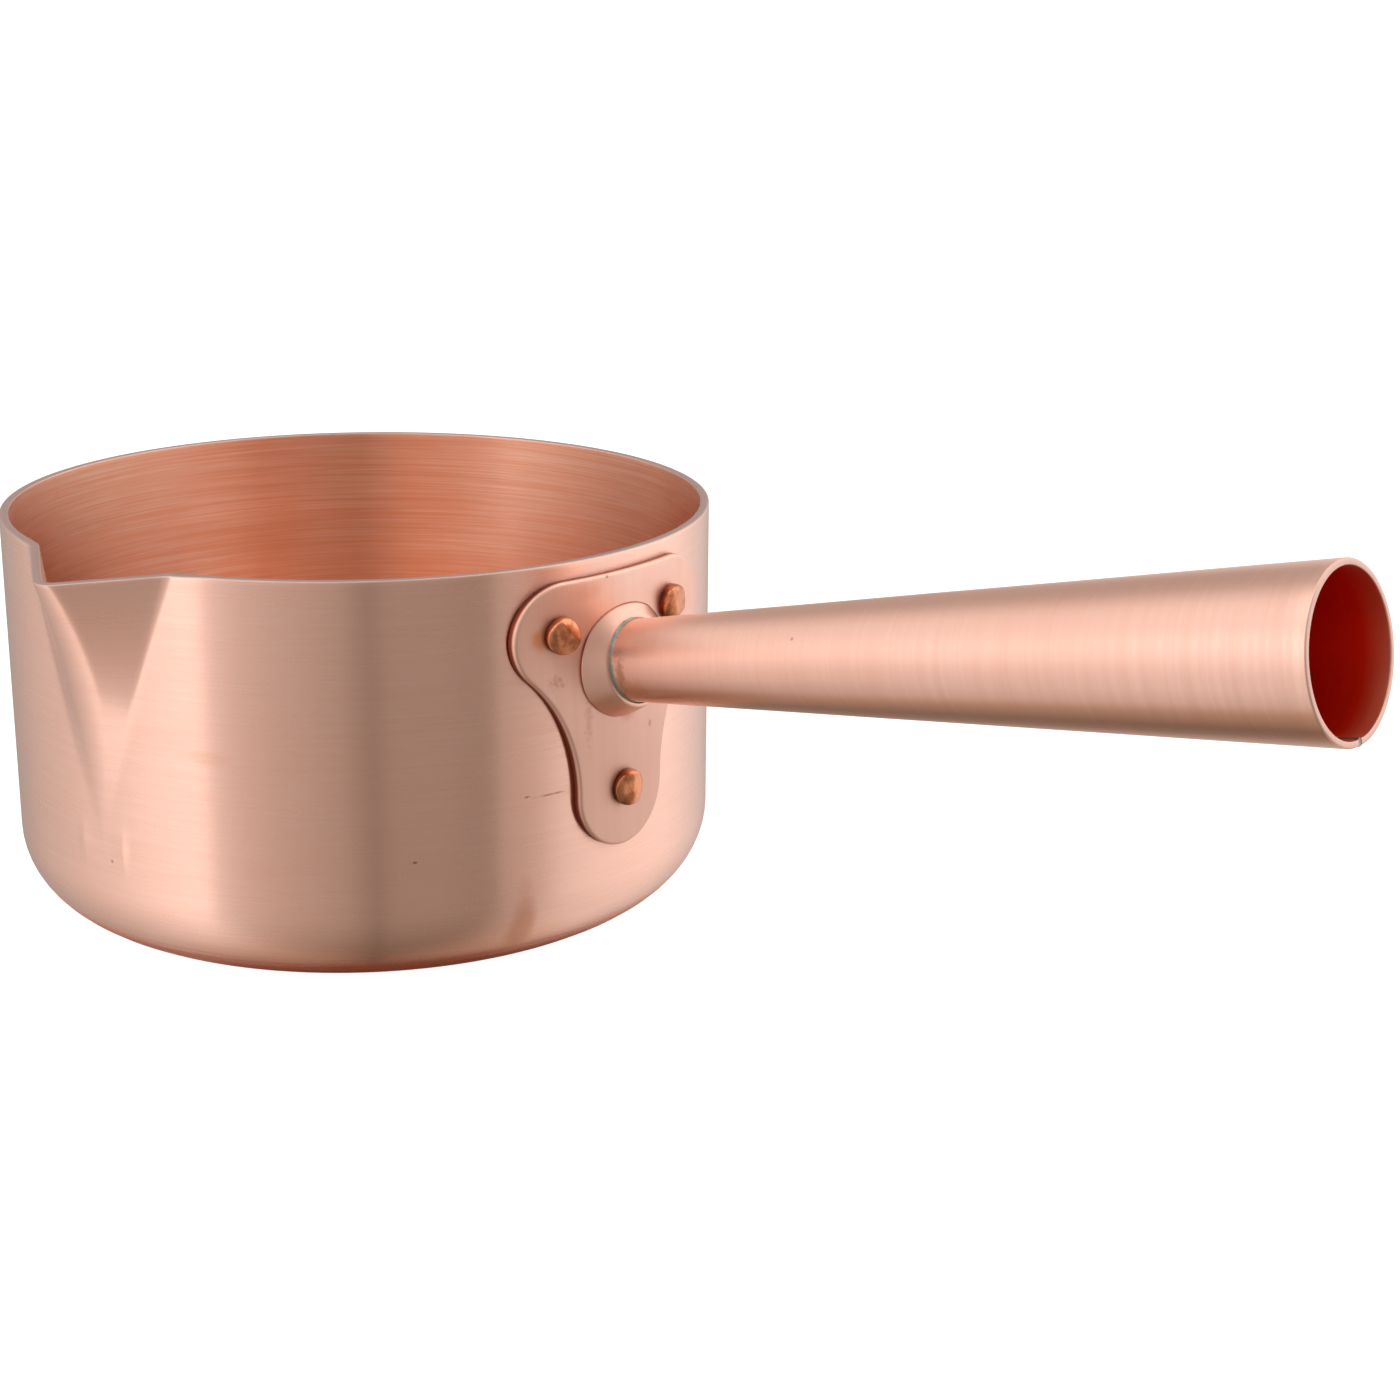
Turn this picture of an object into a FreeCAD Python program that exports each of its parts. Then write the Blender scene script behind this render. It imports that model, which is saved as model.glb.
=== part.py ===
import FreeCAD, Part
import math
import os

# Copper saucepan for sugar work, with a pressed pouring spout and a hollow conical handle.
# Millimetres, +Z up. The origin is the centre of the flat underside. The handle points along +X
# and the spout points almost along -Y.

# Pan body: one sheet of copper, spun to a straight wall on a rounded base corner.
PAN_RADIUS = 80.0
PAN_HEIGHT = 90.0
WALL = 2.0
BASE_CORNER_RADIUS = 18.0

# Spout: a rounded V pressed out of the wall, deepest at the lip and fading out down the wall.
# The swell says how fast it fades, the nose growth how soon the nose widens below the lip, and the
# slope steps settle the flanks on the rounded nose.
SPOUT_ANGLE = -86.0
SPOUT_REACH = 13.5
SPOUT_SWELL = 2.4
SPOUT_HALF_WIDTH = 21.5
SPOUT_APEX_HEIGHT = 27.0
SPOUT_LIP_NOSE_RADIUS = 3.2
SPOUT_APEX_NOSE_RADIUS = 17.0
SPOUT_NOSE_GROWTH = 0.6
SPOUT_SLOPE_STEPS = 30
SPOUT_LEVELS = (0.1, 0.25, 0.4, 0.55, 0.7, 0.85, 1.0, 1.06)
SPOUT_FLANK_OVERLAP = 4.0
SPOUT_BACK = 62.0
LIP_DIP = 2.8
LIP_DIP_START = 74.0

# Handle: a tapered tube that leaves the wall on a slope. Distances are along its axis, from the wall.
HANDLE_AXIS_HEIGHT = 66.4
HANDLE_SLOPE = 11.42
HANDLE_LENGTH = 168.0
HANDLE_ROOT_RADIUS = 8.5
HANDLE_END_RADIUS = 16.0
HANDLE_SHEET = 1.25
HANDLE_LIP_ROUND = 0.3
SEAM_WIDTH = 1.2

# Collar: a short conical boss, flat against the plate and square to the tube that is brazed in it.
# Its foot sits a little above the tube's axis.
COLLAR_BASE_RADIUS = 12.9
COLLAR_BASE_LIFT = 0.6
COLLAR_BASE_STAND_OFF = 1.6
COLLAR_END_RADIUS = 9.7
COLLAR_END_DISTANCE = 6.0
BRAZE_LENGTH = 1.1
BRAZE_HEIGHT = 0.7

# Handle plate: three rounded lobes, curved a little less than the wall that it is riveted to.
PLATE_THICKNESS = 2.0
PLATE_BACK_RADIUS = 86.0
PLATE_EDGE_ROUND = 0.6
UPPER_LOBE_RADIUS = 11.8
UPPER_LOBE_OFFSET = 16.4
UPPER_LOBE_HEIGHT = 74.7
LOWER_LOBE_RADIUS = 12.8
LOWER_LOBE_HEIGHT = 38.5
WAIST_RADIUS = 38.0

# Rivets: a hammered head outside, a low head inside. They were set by hand, so the places, given
# as the distance to one side of the centre line and the height, are not quite symmetric.
RIVET_PLACES = {
    "rivet_upper_left": (-17.6, 75.6),
    "rivet_upper_right": (15.8, 76.4),
    "rivet_lower": (0.3, 38.7),
}
RIVET_SHANK_RADIUS = 2.5
RIVET_HEAD_RADIUS = 4.0
RIVET_FACE_RADIUS = 2.9
RIVET_HEAD_HEIGHT = 2.6
RIVET_RIM_HEIGHT = 0.9
RIVET_INNER_RADIUS = 4.6
RIVET_INNER_HEIGHT = 1.2
RIVET_INNER_EDGE = 0.5

X_AXIS = FreeCAD.Vector(1, 0, 0)
UP = FreeCAD.Vector(0, 0, 1)
REACH_PAST = 60.0


def revolved(points, axis_point, axis_direction):
    """Turn a closed outline of straight edges about an axis into a solid."""
    outline = Part.makePolygon(points + [points[0]])
    return Part.Face(outline).revolve(axis_point, axis_direction, 360)


def pan_outline(radius, height, corner, floor):
    """Face of half the pan's profile, from the axis out to the given radius."""
    centre = FreeCAD.Vector(radius - corner, 0, floor + corner)
    middle = centre + FreeCAD.Vector(corner / math.sqrt(2), 0, -corner / math.sqrt(2))
    axis_low = FreeCAD.Vector(0, 0, floor)
    axis_high = FreeCAD.Vector(0, 0, height)
    floor_end = FreeCAD.Vector(radius - corner, 0, floor)
    wall_start = FreeCAD.Vector(radius, 0, floor + corner)
    wall_end = FreeCAD.Vector(radius, 0, height)
    edges = [
        Part.LineSegment(axis_low, floor_end).toShape(),
        Part.Arc(floor_end, middle, wall_start).toShape(),
        Part.LineSegment(wall_start, wall_end).toShape(),
        Part.LineSegment(wall_end, axis_high).toShape(),
        Part.LineSegment(axis_high, axis_low).toShape(),
    ]
    return Part.Face(Part.Wire(edges))


def flank_slope(rise, half_width, nose_radius):
    """Slope of a V whose rounded nose stands the given rise above its two ends."""
    slope = rise / half_width
    for _ in range(SPOUT_SLOPE_STEPS):
        slope = (rise + nose_radius * (math.hypot(1, slope) - 1)) / half_width
    return slope


def spout_section(level, inset):
    """Closed plan outline of the spout at one level, moved inwards by the inset.

    The level is 0 at the apex on the wall and 1 at the rim.
    """
    height = SPOUT_APEX_HEIGHT + level * (PAN_HEIGHT - SPOUT_APEX_HEIGHT)
    half_width = level * SPOUT_HALF_WIDTH
    below_lip = max(0, 1 - level) ** SPOUT_NOSE_GROWTH
    nose_growth = SPOUT_APEX_NOSE_RADIUS - SPOUT_LIP_NOSE_RADIUS
    nose_radius = SPOUT_LIP_NOSE_RADIUS + nose_growth * below_lip
    crease = math.sqrt(PAN_RADIUS ** 2 - half_width ** 2)
    rise = PAN_RADIUS + SPOUT_REACH * level ** SPOUT_SWELL - crease
    slope = flank_slope(rise, half_width, nose_radius)
    flank = math.hypot(1, slope)
    peak = crease + slope * half_width - inset * flank
    nose_radius = nose_radius - inset
    nose_centre = peak - nose_radius * flank
    side = half_width + SPOUT_FLANK_OVERLAP

    def point(along, across):
        return FreeCAD.Vector(along, across, height)

    back_left = point(SPOUT_BACK, -side)
    front_left = point(peak - slope * side, -side)
    nose_left = point(nose_centre + nose_radius / flank, -nose_radius * slope / flank)
    nose_tip = point(nose_centre + nose_radius, 0)
    nose_right = point(nose_centre + nose_radius / flank, nose_radius * slope / flank)
    front_right = point(peak - slope * side, side)
    back_right = point(SPOUT_BACK, side)
    edges = [
        Part.LineSegment(back_left, front_left).toShape(),
        Part.LineSegment(front_left, nose_left).toShape(),
        Part.Arc(nose_left, nose_tip, nose_right).toShape(),
        Part.LineSegment(nose_right, front_right).toShape(),
        Part.LineSegment(front_right, back_right).toShape(),
        Part.LineSegment(back_right, back_left).toShape(),
    ]
    return Part.Wire(edges)


def spout_form(inset):
    """Solid that fills the spout, either to its outer or to its inner surface."""
    sections = [spout_section(level, inset) for level in SPOUT_LEVELS]
    form = Part.makeLoft(sections, True, True)
    form.rotate(FreeCAD.Vector(0, 0, 0), UP, SPOUT_ANGLE)
    return form


def lip_cutter():
    """Wedge above the lip, which falls gently from the rim to the tip of the spout."""
    fall = LIP_DIP / (PAN_RADIUS + SPOUT_REACH - LIP_DIP_START)
    half_width = PAN_RADIUS
    above = PAN_HEIGHT + REACH_PAST
    far = LIP_DIP_START + REACH_PAST
    corners = [
        FreeCAD.Vector(LIP_DIP_START, -half_width, PAN_HEIGHT),
        FreeCAD.Vector(far, -half_width, PAN_HEIGHT - fall * REACH_PAST),
        FreeCAD.Vector(far, -half_width, above),
        FreeCAD.Vector(LIP_DIP_START, -half_width, above),
    ]
    face = Part.Face(Part.makePolygon(corners + [corners[0]]))
    wedge = face.extrude(FreeCAD.Vector(0, 2 * half_width, 0))
    wedge.rotate(FreeCAD.Vector(0, 0, 0), UP, SPOUT_ANGLE)
    return wedge


def above_rim():
    """Block above the rim, which trims the spout level with the pan."""
    side = 4 * PAN_RADIUS
    corner = FreeCAD.Vector(-side / 2, -side / 2, PAN_HEIGHT)
    return Part.makeBox(side, side, REACH_PAST, corner)


def plate_cylinder(radius):
    """Upright cylinder about the axis that the plate is curved about."""
    axis_x = PAN_RADIUS - PLATE_BACK_RADIUS
    return Part.makeCylinder(radius, PAN_HEIGHT + REACH_PAST, FreeCAD.Vector(axis_x, 0, 0))


def waist_arc(side):
    """Hollow arc that joins an upper lobe to the lower lobe, tangent to both."""
    upper = FreeCAD.Vector(0, side * UPPER_LOBE_OFFSET, UPPER_LOBE_HEIGHT)
    lower = FreeCAD.Vector(0, 0, LOWER_LOBE_HEIGHT)
    between = upper - lower
    to_lower = WAIST_RADIUS + LOWER_LOBE_RADIUS
    to_upper = WAIST_RADIUS + UPPER_LOBE_RADIUS
    apart = between.Length
    along = (to_lower ** 2 - to_upper ** 2 + apart ** 2) / (2 * apart)
    away = math.sqrt(to_lower ** 2 - along ** 2)
    direction = between / apart
    sideways = FreeCAD.Vector(0, direction.z, -direction.y) * side
    centre = lower + direction * along + sideways * away
    on_lower = lower + (centre - lower) * (LOWER_LOBE_RADIUS / to_lower)
    on_upper = upper + (centre - upper) * (UPPER_LOBE_RADIUS / to_upper)
    chord_middle = (on_lower + on_upper) / 2
    arc_middle = centre + (chord_middle - centre).normalize() * WAIST_RADIUS
    return on_lower, arc_middle, on_upper


def plate_outline():
    """Flat outline of the handle plate, seen along the handle."""
    low_right, waist_right, high_right = waist_arc(1)
    low_left, waist_left, high_left = waist_arc(-1)
    bottom = FreeCAD.Vector(0, 0, LOWER_LOBE_HEIGHT - LOWER_LOBE_RADIUS)
    top = UPPER_LOBE_HEIGHT + UPPER_LOBE_RADIUS
    shoulder = UPPER_LOBE_RADIUS / math.sqrt(2)
    top_right = FreeCAD.Vector(0, UPPER_LOBE_OFFSET, top)
    top_left = FreeCAD.Vector(0, -UPPER_LOBE_OFFSET, top)
    corner_right = FreeCAD.Vector(0, UPPER_LOBE_OFFSET + shoulder, UPPER_LOBE_HEIGHT + shoulder)
    corner_left = FreeCAD.Vector(0, -UPPER_LOBE_OFFSET - shoulder, UPPER_LOBE_HEIGHT + shoulder)
    edges = [
        Part.Arc(low_left, bottom, low_right).toShape(),
        Part.Arc(low_right, waist_right, high_right).toShape(),
        Part.Arc(high_right, corner_right, top_right).toShape(),
        Part.LineSegment(top_right, top_left).toShape(),
        Part.Arc(top_left, corner_left, high_left).toShape(),
        Part.Arc(high_left, waist_left, low_left).toShape(),
    ]
    return Part.Wire(edges)


def handle_axis(distance):
    """Point on the handle's axis, at a distance from the pan's outer wall."""
    start = FreeCAD.Vector(PAN_RADIUS, 0, HANDLE_AXIS_HEIGHT)
    return start + handle_direction() * distance


def handle_direction():
    slope = math.radians(HANDLE_SLOPE)
    return FreeCAD.Vector(math.cos(slope), 0, math.sin(slope))


def tube_radius(distance):
    """Outer radius of the handle tube at a distance along its axis."""
    return HANDLE_ROOT_RADIUS + (HANDLE_END_RADIUS - HANDLE_ROOT_RADIUS) * distance / HANDLE_LENGTH


def about_handle(profile):
    """Turn (distance, radius) points about the handle's axis."""
    direction = handle_direction()
    outward = FreeCAD.Vector(-direction.z, 0, direction.x)
    points = [handle_axis(distance) + outward * radius for distance, radius in profile]
    return revolved(points, handle_axis(0), direction)


def tube_blank():
    """The handle tube before it is fitted to the plate and slit along its seam."""
    rounding = HANDLE_LIP_ROUND
    length = HANDLE_LENGTH
    return about_handle([
        (0, tube_radius(0)),
        (length - rounding, tube_radius(length - rounding)),
        (length, tube_radius(length) - rounding),
        (length, tube_radius(length) - HANDLE_SHEET),
        (0, tube_radius(0) - HANDLE_SHEET),
    ])


def seam_slot():
    """Thin slab under the handle's axis, as wide as the brazed seam."""
    depth = 2 * HANDLE_END_RADIUS
    corner = FreeCAD.Vector(0, -SEAM_WIDTH / 2, -depth)
    slab = Part.makeBox(HANDLE_LENGTH + REACH_PAST, SEAM_WIDTH, depth, corner)
    slab.rotate(FreeCAD.Vector(0, 0, 0), FreeCAD.Vector(0, -1, 0), HANDLE_SLOPE)
    slab.translate(handle_axis(0))
    return slab


def rivet_direction(offset):
    """Outward direction of a rivet that stands the given distance beside the centre line."""
    plate_radius = PAN_RADIUS + PLATE_THICKNESS
    angle = math.asin(offset / plate_radius)
    return FreeCAD.Vector(math.cos(angle), math.sin(angle), 0)


def plate_surface_distance(direction):
    """Distance from the pan's axis to the plate's outer face along a level direction."""
    axis_x = PAN_RADIUS - PLATE_BACK_RADIUS
    radius = PLATE_BACK_RADIUS + PLATE_THICKNESS
    return direction.x * axis_x + math.sqrt(radius ** 2 - (direction.y * axis_x) ** 2)


def shank(direction, height):
    """Cylinder of a rivet's shank, through the wall and the plate and into both heads."""
    start = direction * (PAN_RADIUS - WALL - RIVET_INNER_HEIGHT / 2) + UP * height
    end = direction * (plate_surface_distance(direction) + RIVET_HEAD_HEIGHT / 2) + UP * height
    return Part.makeCylinder(RIVET_SHANK_RADIUS, (end - start).Length, start, direction)


def about_rivet(profile, direction, height):
    """Turn (distance, radius) points about a rivet's axis."""
    points = [direction * distance + UP * (height + radius) for distance, radius in profile]
    return revolved(points, UP * height, direction)


def rivet(direction, height):
    """One rivet, its outer head fitted to the plate and its inner head to the wall."""
    inside = PAN_RADIUS - WALL
    outside = plate_surface_distance(direction)
    outer_head = about_rivet([
        (outside - PLATE_THICKNESS / 2, 0),
        (outside - PLATE_THICKNESS / 2, RIVET_HEAD_RADIUS),
        (outside + RIVET_RIM_HEIGHT, RIVET_HEAD_RADIUS),
        (outside + RIVET_HEAD_HEIGHT, RIVET_FACE_RADIUS),
        (outside + RIVET_HEAD_HEIGHT, 0),
    ], direction, height)
    inner_head = about_rivet([
        (inside - RIVET_INNER_HEIGHT, 0),
        (inside - RIVET_INNER_HEIGHT, RIVET_INNER_RADIUS - RIVET_INNER_EDGE),
        (inside - RIVET_INNER_HEIGHT + RIVET_INNER_EDGE, RIVET_INNER_RADIUS),
        (inside + WALL / 2, RIVET_INNER_RADIUS),
        (inside + WALL / 2, 0),
    ], direction, height)
    outer_head = outer_head.cut(plate_cylinder(PLATE_BACK_RADIUS + PLATE_THICKNESS))
    inner_head = inner_head.common(Part.makeCylinder(inside, PAN_HEIGHT))
    return shank(direction, height).fuse([outer_head, inner_head])


def make_pan_body(rivet_holes):
    origin = FreeCAD.Vector(0, 0, 0)
    inner_corner = BASE_CORNER_RADIUS - WALL
    outside = pan_outline(PAN_RADIUS, PAN_HEIGHT, BASE_CORNER_RADIUS, 0)
    inside = pan_outline(PAN_RADIUS - WALL, PAN_HEIGHT, inner_corner, WALL)
    outer = outside.revolve(origin, UP, 360)
    inner = inside.revolve(origin, UP, 360)
    body = outer.fuse(spout_form(0)).cut(inner).cut(spout_form(WALL))
    return body.cut([above_rim(), lip_cutter()] + rivet_holes)


def make_handle_plate(rivet_holes):
    outline = Part.Face(plate_outline())
    prism = outline.extrude(FreeCAD.Vector(2 * PAN_RADIUS, 0, 0))
    shell = plate_cylinder(PLATE_BACK_RADIUS + PLATE_THICKNESS).cut(plate_cylinder(PLATE_BACK_RADIUS))
    plate = shell.common(prism)
    outer_face = max(plate.Faces, key=lambda face: face.CenterOfMass.x)
    plate = plate.makeFillet(PLATE_EDGE_ROUND, outer_face.Edges)
    return plate.cut(rivet_holes)


def make_handle_collar(plate_solid):
    base_height = handle_axis(COLLAR_BASE_STAND_OFF).z + COLLAR_BASE_LIFT
    base_centre = FreeCAD.Vector(PAN_RADIUS, 0, base_height)
    base = Part.makeCylinder(COLLAR_BASE_RADIUS, COLLAR_BASE_STAND_OFF, base_centre, X_AXIS)
    lower_ring = Part.makeCircle(COLLAR_BASE_RADIUS, base_centre + X_AXIS * COLLAR_BASE_STAND_OFF, X_AXIS)
    upper_ring = Part.makeCircle(COLLAR_END_RADIUS, handle_axis(COLLAR_END_DISTANCE), handle_direction())
    cone = Part.makeLoft([Part.Wire(lower_ring), Part.Wire(upper_ring)], True, True)
    bore = about_handle([
        (-REACH_PAST, 0),
        (-REACH_PAST, tube_radius(-REACH_PAST)),
        (REACH_PAST, tube_radius(REACH_PAST)),
        (REACH_PAST, 0),
    ])
    return base.fuse(cone).cut(bore).cut(plate_solid)


def make_collar_braze():
    end = COLLAR_END_DISTANCE + BRAZE_LENGTH
    return about_handle([
        (COLLAR_END_DISTANCE, tube_radius(COLLAR_END_DISTANCE)),
        (COLLAR_END_DISTANCE, tube_radius(COLLAR_END_DISTANCE) + BRAZE_HEIGHT),
        (end, tube_radius(end)),
    ])


def single_solid(shape):
    """The one solid of a finished piece, with needless edges taken out."""
    clean = shape.removeSplitter()
    assert len(clean.Solids) == 1, len(clean.Solids)
    assert clean.isValid()
    return clean.Solids[0]


places = {}
for name, (offset, height) in RIVET_PLACES.items():
    places[name] = (rivet_direction(offset), height)
holes = [shank(direction, height) for direction, height in places.values()]
plate_backing = plate_cylinder(PLATE_BACK_RADIUS + PLATE_THICKNESS)

pieces = {
    "pan_body": make_pan_body(holes),
    "handle_plate": make_handle_plate(holes),
    "handle_collar": make_handle_collar(plate_backing),
    "handle_tube": tube_blank().cut(plate_backing).cut(seam_slot()),
    "tube_seam_braze": tube_blank().cut(plate_backing).common(seam_slot()),
    "collar_braze": make_collar_braze(),
}
for name, (direction, height) in places.items():
    pieces[name] = rivet(direction, height)

os.makedirs("parts", exist_ok=True)
for name, shape in pieces.items():
    solid = single_solid(shape)
    solid.exportStep(os.path.join("parts", name + ".step"))
    print(name, round(solid.Volume, 1), solid.BoundBox)
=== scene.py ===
import bpy
from math import asin, atan2, cos, exp, hypot, pi, radians, sin, sqrt
from mathutils import Matrix, Vector, noise


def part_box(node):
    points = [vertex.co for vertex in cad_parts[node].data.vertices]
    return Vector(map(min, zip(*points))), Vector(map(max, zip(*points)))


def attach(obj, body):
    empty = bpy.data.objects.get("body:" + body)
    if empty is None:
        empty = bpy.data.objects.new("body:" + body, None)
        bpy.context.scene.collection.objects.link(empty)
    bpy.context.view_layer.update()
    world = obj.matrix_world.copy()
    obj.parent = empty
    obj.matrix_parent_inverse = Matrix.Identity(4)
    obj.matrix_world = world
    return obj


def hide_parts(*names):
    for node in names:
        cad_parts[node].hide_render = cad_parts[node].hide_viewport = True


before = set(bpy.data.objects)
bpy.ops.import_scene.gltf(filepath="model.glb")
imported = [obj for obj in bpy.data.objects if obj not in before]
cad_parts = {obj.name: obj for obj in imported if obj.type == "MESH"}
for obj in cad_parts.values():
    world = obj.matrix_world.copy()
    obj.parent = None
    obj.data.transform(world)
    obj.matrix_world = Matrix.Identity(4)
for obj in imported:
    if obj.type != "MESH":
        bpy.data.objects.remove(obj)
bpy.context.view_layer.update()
xAxis = Vector((1, 0, 0))
yAxis = Vector((0, 1, 0))
zAxis = Vector((0, 0, 1))
origin = Vector((0, 0, 0))
weldDistance = 0.000008  # points nearer than this become one


# helpers for shaping

def drawOutline(name, places):
    # one point, extruded from place to place
    bpy.ops.object.select_all(action="DESELECT")
    bpy.ops.mesh.primitive_plane_add(size=0.001)
    piece = bpy.context.object
    piece.name = name
    piece.data.name = name
    bpy.ops.object.mode_set(mode="EDIT")
    bpy.ops.mesh.select_all(action="SELECT")
    bpy.ops.mesh.merge(type="CENTER")
    bpy.ops.transform.translate(value=places[0])
    for here, there in zip(places, places[1:]):
        bpy.ops.mesh.extrude_region_move(TRANSFORM_OT_translate={"value": there - here})
    bpy.ops.object.mode_set(mode="OBJECT")
    return piece


def spinOutline(name, outline, foot, axis, across, steps, turn=2 * pi):
    # the outline is a list of (along the axis, out from it), turned upright and then put in its place
    piece = drawOutline(name, [Vector((out, 0, along)) for along, out in outline])
    screw = piece.modifiers.new("turning", "SCREW")
    screw.angle = turn
    screw.steps = steps
    screw.render_steps = steps
    bpy.ops.object.modifier_apply(modifier="turning")
    upright = Matrix((across, axis.cross(across), axis)).transposed()
    piece.data.transform(Matrix.Translation(foot) @ upright.to_4x4())
    bpy.ops.object.mode_set(mode="EDIT")
    bpy.ops.mesh.select_all(action="SELECT")
    bpy.ops.mesh.remove_doubles(threshold=weldDistance)
    if turn < 2 * pi:
        bpy.ops.mesh.select_all(action="DESELECT")
        bpy.ops.mesh.select_mode(type="EDGE")
        bpy.ops.mesh.select_non_manifold(extend=False)
        bpy.ops.mesh.fill_holes(sides=0)
        bpy.ops.mesh.select_mode(type="VERT")
    bpy.ops.mesh.select_all(action="SELECT")
    bpy.ops.mesh.normals_make_consistent(inside=False)
    bpy.ops.object.mode_set(mode="OBJECT")
    return piece


def moveVertices(piece, rule):
    for vertex in piece.data.vertices:
        vertex.co = rule(vertex.co.copy())
    piece.data.update()


def writeAttribute(piece, name, rule):
    values = [rule(vertex.co) for vertex in piece.data.vertices]
    piece.data.attributes.new(name, "FLOAT", "POINT").data.foreach_set("value", values)


def smoothShade(piece, angle):
    bpy.ops.object.select_all(action="DESELECT")
    piece.select_set(True)
    bpy.context.view_layer.objects.active = piece
    bpy.ops.object.shade_smooth_by_angle(angle=radians(angle))


def finishPiece(piece, node, materials, angle=30):
    smoothShade(piece, angle)
    for material in materials:
        piece.data.materials.append(material)
    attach(piece, "root")
    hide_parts(node)
    print("made", piece.name, len(piece.data.polygons), "faces")


def arc(center, radius, start, end, count):
    # points of a round corner, given as (along, out)
    points = []
    for step in range(count + 1):
        angle = radians(start + (end - start) * step / count)
        points.append((center[0] + radius * sin(angle), center[1] + radius * cos(angle)))
    return points


def between(low, high, count):
    return [low + (high - low) * step / count for step in range(count + 1)]


def clamp(value, low=0.0, high=1.0):
    return max(low, min(high, value))


# helpers for shading

def addNode(tree, kind, **settings):
    node = tree.nodes.new(kind)
    for setting, value in settings.items():
        setattr(node, setting, value)
    return node


def feed(tree, socket, value):
    # a socket takes a link or a plain value
    if isinstance(value, bpy.types.NodeSocket):
        tree.links.new(value, socket)
    else:
        socket.default_value = value


def mathNode(tree, operation, first, second=0.0):
    node = addNode(tree, "ShaderNodeMath", operation=operation)
    feed(tree, node.inputs[0], first)
    feed(tree, node.inputs[1], second)
    return node.outputs[0]


def vectorNode(tree, operation, first, second=(0, 0, 0)):
    node = addNode(tree, "ShaderNodeVectorMath", operation=operation)
    feed(tree, node.inputs[0], first)
    feed(tree, node.inputs[1], second)
    return node.outputs["Value" if operation in ("LENGTH", "DOT_PRODUCT") else "Vector"]


def mapRange(tree, value, low, high, toLow=0.0, toHigh=1.0, smooth=True):
    kind = "SMOOTHSTEP" if smooth else "LINEAR"
    node = addNode(tree, "ShaderNodeMapRange", interpolation_type=kind)
    for socket, number in zip(node.inputs[:5], (value, low, high, toLow, toHigh)):
        feed(tree, socket, number)
    return node.outputs[0]


def mixColor(tree, amount, first, second):
    node = addNode(tree, "ShaderNodeMix", data_type="RGBA")
    feed(tree, node.inputs["Factor"], amount)
    feed(tree, node.inputs[6], first)
    feed(tree, node.inputs[7], second)
    return node.outputs[2]


def noiseNode(tree, vector, scale, detail=2.0, roughness=0.5):
    node = addNode(tree, "ShaderNodeTexNoise")
    feed(tree, node.inputs["Vector"], vector)
    feed(tree, node.inputs["Scale"], scale)
    node.inputs["Detail"].default_value = detail
    node.inputs["Roughness"].default_value = roughness
    return node.outputs["Fac"]


def newGroup(name, inputs, outputs):
    group = bpy.data.node_groups.new(name, "ShaderNodeTree")
    for label, value in inputs.items():
        kind = "NodeSocketVector" if isinstance(value, tuple) else "NodeSocketFloat"
        socket = group.interface.new_socket(name=label, in_out="INPUT", socket_type=kind)
        socket.default_value = value
    for label in outputs:
        group.interface.new_socket(name=label, in_out="OUTPUT", socket_type="NodeSocketFloat")
    entry = addNode(group, "NodeGroupInput")
    result = addNode(group, "NodeGroupOutput")
    return group, entry.outputs, result.inputs


def useGroup(tree, group, **values):
    node = addNode(tree, "ShaderNodeGroup", node_tree=group)
    for label, value in values.items():
        feed(tree, node.inputs[label], value)
    return node.outputs


# shared effects

brushing = {
    "widen": (0.6, 0.6, 0.24),  # coarse lines beside the fine ones
    "fineEdges": (0.3, 0.7),
    "coarseEdges": (0.34, 0.66),
}
tarnishing = {
    "cloudEdges": (0.42, 0.68),
    "pitEdges": (0.12, 0.3),
    "pitColor": (0.12, 0.04, 0.02, 1),
}
stainAndShadeSettings = {
    "edges": (0.25, 1.0),
    "raggedness": 4.0,
    "rougher": 0.12,
}
relief = {
    "fineShare": 0.4,
    "distance": 0.0001,
    "quarterTurn": 0.25,  # turns the highlight across the brush lines
}


def makeBrushLines():
    # fine and coarse scratches that run along Place and follow each other along Groove
    values = {"Place": (0.0, 0.0, 0.0), "Groove": 0.0, "Pitch": 2000.0, "Stroke": 40.0}
    group, given, result = newGroup("brushLines", values, ["Fine", "Coarse"])
    slow = addNode(group, "ShaderNodeVectorMath", operation="SCALE")
    feed(group, slow.inputs[0], given["Place"])
    feed(group, slow.inputs["Scale"], given["Stroke"])
    fast = mathNode(group, "MULTIPLY", given["Groove"], given["Pitch"])
    lift = addNode(group, "ShaderNodeCombineXYZ")
    feed(group, lift.inputs["Z"], fast)
    line = vectorNode(group, "ADD", slow.outputs[0], lift.outputs[0])
    fine = noiseNode(group, line, 1.0, 2.0, 0.6)
    wide = vectorNode(group, "MULTIPLY", line, brushing["widen"])
    coarse = noiseNode(group, wide, 1.0, 3.0, 0.55)
    feed(group, result["Fine"], mapRange(group, fine, *brushing["fineEdges"]))
    feed(group, result["Coarse"], mapRange(group, coarse, *brushing["coarseEdges"]))
    return group


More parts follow.
